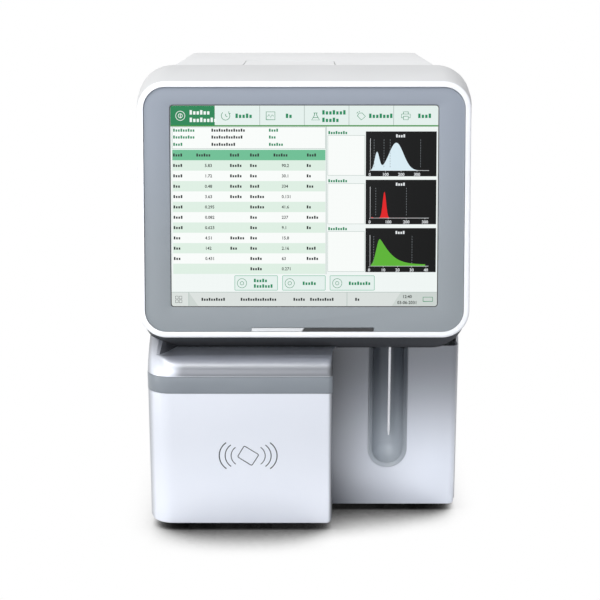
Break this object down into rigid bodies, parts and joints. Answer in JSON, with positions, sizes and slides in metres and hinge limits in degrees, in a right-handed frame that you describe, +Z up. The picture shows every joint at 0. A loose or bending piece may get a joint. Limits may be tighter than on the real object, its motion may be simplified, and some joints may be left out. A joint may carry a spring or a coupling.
{
  "type": "hematology analyzer",
  "caption": "Bench-top blood cell analyser with a tilted touch screen head, a stepped lower front and a sample probe hanging in a rounded channel.",
  "frame": {"origin": "middle of the footprint on the table, under the feet", "axes": "+X to the right as seen from the front, +Y from the front to the back, +Z up"},
  "size_m": [0.32, 0.3784, 0.443],
  "materials": {
    "white_plastic": "fine satin texture",
    "silver_plastic": "pearl satin",
    "grey_trim": "smooth",
    "grey_bezel": "smooth",
    "dark_plastic": "satin",
    "black_plastic": "satin",
    "light_lens": "polished",
    "screen_glass": "polished, lit screen",
    "steel": "ground",
    "zinc_sheet": "zinc plated",
    "aluminium": "milled",
    "rubber": "matt",
    "circuit_board": "solder mask",
    "acrylic": "clear, polished",
    "thermal_paper": "smooth paper",
    "motor_black": "black laminations"
  },
  "bodies": {
    "cabinet": {"head_rim": "white_plastic", "head_shroud": "white_plastic", "left_side_panel": "white_plastic", "right_side_panel": "white_plastic", "top_cover": "white_plastic", "rear_panel": "white_plastic", "recorder_bucket": "white_plastic", "port_plate": "white_plastic", "front_left_cover": "silver_plastic", "front_right_panel": "silver_plastic", "trim_band": "grey_trim", "probe_channel": "grey_trim", "head_bezel": "grey_bezel", "paper_spindle": "dark_plastic", "diaphragm_pump": "dark_plastic", "status_window": "black_plastic", "fan_frame": "black_plastic", "mains_entry": "black_plastic", "status_light": "light_lens", "touch_glass": "screen_glass", "lid_hinge_pin": "steel", "guide_rod": "steel", "fan_guard": "steel", "display_module": "zinc_sheet", "display_tray": "zinc_sheet", "base_plate": "zinc_sheet", "bulkhead": "zinc_sheet", "head_bracket": "zinc_sheet", "fluidics_frame": "zinc_sheet", "circuit_frame": "zinc_sheet", "bath_bracket": "zinc_sheet", "power_supply": "zinc_sheet", "print_head": "aluminium", "lift_frame": "aluminium", "syringe_block": "aluminium", "foot_front_left": "rubber", "foot_front_right": "rubber", "foot_rear_left": "rubber", "foot_rear_right": "rubber", "main_board": "circuit_board", "reader_board": "circuit_board", "wash_block": "acrylic", "diluent_barrel": "acrylic", "lyse_barrel": "acrylic", "valve_manifold": "acrylic", "vacuum_chamber": "acrylic", "white_cell_bath": "acrylic", "red_cell_bath": "acrylic", "lift_motor": "motor_black", "syringe_motor": "motor_black"},
    "lid": {"recorder_lid": "white_plastic"},
    "platen": {"platen_roller": "rubber"},
    "roll": {"paper_roll": "thermal_paper"},
    "probe": {"probe_carriage": "black_plastic", "sample_needle": "steel"},
    "lift_spindle": {"lift_screw": "steel"},
    "plungers": {"plunger_drive": "dark_plastic"},
    "syringe_spindle": {"syringe_screw": "steel"},
    "fan": {"fan_rotor": "black_plastic"},
    "rocker": {"power_rocker": "black_plastic"}
  },
  "joints": [
    {"name": "lid_hinge", "type": "hinge", "parent": "cabinet", "child": "lid", "pos_m": [-0.01475, 0.00545, 0.436], "axis": [-1, 0, 0], "range_deg": [0, 75]},
    {"name": "platen_spin", "type": "hinge", "parent": "lid", "child": "platen", "pos_m": [-0.01475, -0.06895, 0.43], "axis": [1, 0, 0], "continuous": true},
    {"name": "paper_roll_spin", "type": "hinge", "parent": "cabinet", "child": "roll", "pos_m": [-0.01475, -0.03095, 0.404], "axis": [1, 0, 0], "continuous": true},
    {"name": "lift_screw_spin", "type": "hinge", "parent": "cabinet", "child": "lift_spindle", "pos_m": [0.0965, -0.10695, 0.25], "axis": [0, 0, 1], "range_deg": [0, 6480]},
    {"name": "probe_lift", "type": "slide", "parent": "cabinet", "child": "probe", "axis": [0, 0, 1], "range_m": [0, 0.09]},
    {"name": "syringe_screw_spin", "type": "hinge", "parent": "cabinet", "child": "syringe_spindle", "pos_m": [-0.09, -0.01895, 0.1], "axis": [0, 0, 1], "range_deg": [0, 2880]},
    {"name": "syringe_drive", "type": "slide", "parent": "cabinet", "child": "plungers", "axis": [0, 0, 1], "range_m": [0, 0.04]},
    {"name": "fan_spin", "type": "hinge", "parent": "cabinet", "child": "fan", "pos_m": [-0.07, 0.15505, 0.34], "axis": [0, 1, 0], "continuous": true},
    {"name": "power_switch_rock", "type": "hinge", "parent": "cabinet", "child": "rocker", "pos_m": [0.092, 0.16535, 0.088], "axis": [-1, 0, 0], "range_deg": [0, 18]}
  ],
  "couplings": [
    {"joint": "lift_screw_spin", "follows": "probe_lift", "rad_per_m": 1256.6},
    {"joint": "syringe_screw_spin", "follows": "syringe_drive", "rad_per_m": 1256.6}
  ]
}
